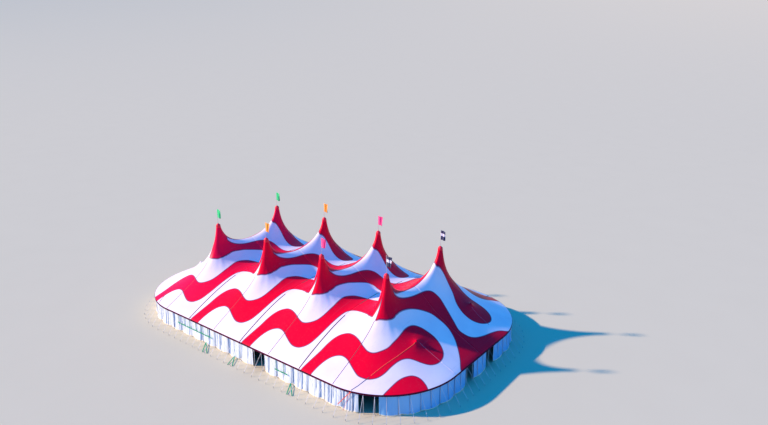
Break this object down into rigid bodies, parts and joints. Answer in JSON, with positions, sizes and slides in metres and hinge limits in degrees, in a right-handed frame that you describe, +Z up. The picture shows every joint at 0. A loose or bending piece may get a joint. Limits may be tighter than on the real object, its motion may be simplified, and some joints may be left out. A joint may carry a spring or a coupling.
{
  "type": "circus big top tent, 1:10 scale model",
  "caption": "Scale model of a large circus tent: peaked canopy on two rows of king poles, round ends, walls with open doorways, side poles, guys and stakes.",
  "frame": {"origin": "on the ground at the middle of the tent's plan", "axes": "+Z up, +X along the tent from its left end to its right end, front side at -Y"},
  "size_m": [10.429, 6.659, 2.8483],
  "materials": {
    "canopy": "coated tent fabric in wavy red and white stripes, satin",
    "wall": "white coated curtain, satin, slightly translucent",
    "steel": "painted steel, satin",
    "galvanised": "galvanised, dull",
    "rigging": "pale painted poles and taut webbing guys",
    "flag_green": "plain woven flag cloth",
    "flag_orange": "plain woven flag cloth",
    "flag_pink": "plain woven flag cloth",
    "flag_navy": "plain woven flag cloth"
  },
  "bodies": {
    "root": {"canopy_front_1": "canopy", "canopy_front_2": "canopy", "canopy_front_3": "canopy", "canopy_front_4": "canopy", "canopy_back_1": "canopy", "canopy_back_2": "canopy", "canopy_back_3": "canopy", "canopy_back_4": "canopy", "king_pole_front_1": "steel", "king_pole_front_2": "steel", "king_pole_front_3": "steel", "king_pole_front_4": "steel", "king_pole_back_1": "steel", "king_pole_back_2": "steel", "king_pole_back_3": "steel", "king_pole_back_4": "steel", "flag_front_1": "flag_green", "flag_front_2": "flag_orange", "flag_front_3": "flag_pink", "flag_front_4": "flag_navy", "flag_back_1": "flag_green", "flag_back_2": "flag_orange", "flag_back_3": "flag_pink", "flag_back_4": "flag_navy", "quarter_pole_mid_front_left": "galvanised", "quarter_pole_mid_front_right": "galvanised", "quarter_pole_mid_back_left": "galvanised", "quarter_pole_mid_back_right": "galvanised", "quarter_pole_side_front_left": "galvanised", "quarter_pole_side_front_right": "galvanised", "quarter_pole_side_back_left": "galvanised", "quarter_pole_side_back_right": "galvanised", "quarter_pole_end_front_left": "galvanised", "quarter_pole_end_front_right": "galvanised", "quarter_pole_end_back_left": "galvanised", "quarter_pole_end_back_right": "galvanised", "side_poles_front_left": "rigging", "side_poles_front_right": "rigging", "side_poles_corner_front_right": "rigging", "side_poles_end_right": "rigging", "side_poles_corner_back_right": "rigging", "side_poles_back_right": "rigging", "side_poles_back_left": "rigging", "side_poles_corner_back_left": "rigging", "side_poles_end_left": "rigging", "side_poles_corner_front_left": "rigging", "wall_front_left": "wall", "wall_front_right": "wall", "wall_corner_front_right": "wall", "wall_end_right": "wall", "wall_corner_back_right": "wall", "wall_back_right": "wall", "wall_back_left": "wall", "wall_corner_back_left": "wall", "wall_end_left": "wall", "wall_corner_front_left": "wall"}
  },
  "joints": []
}
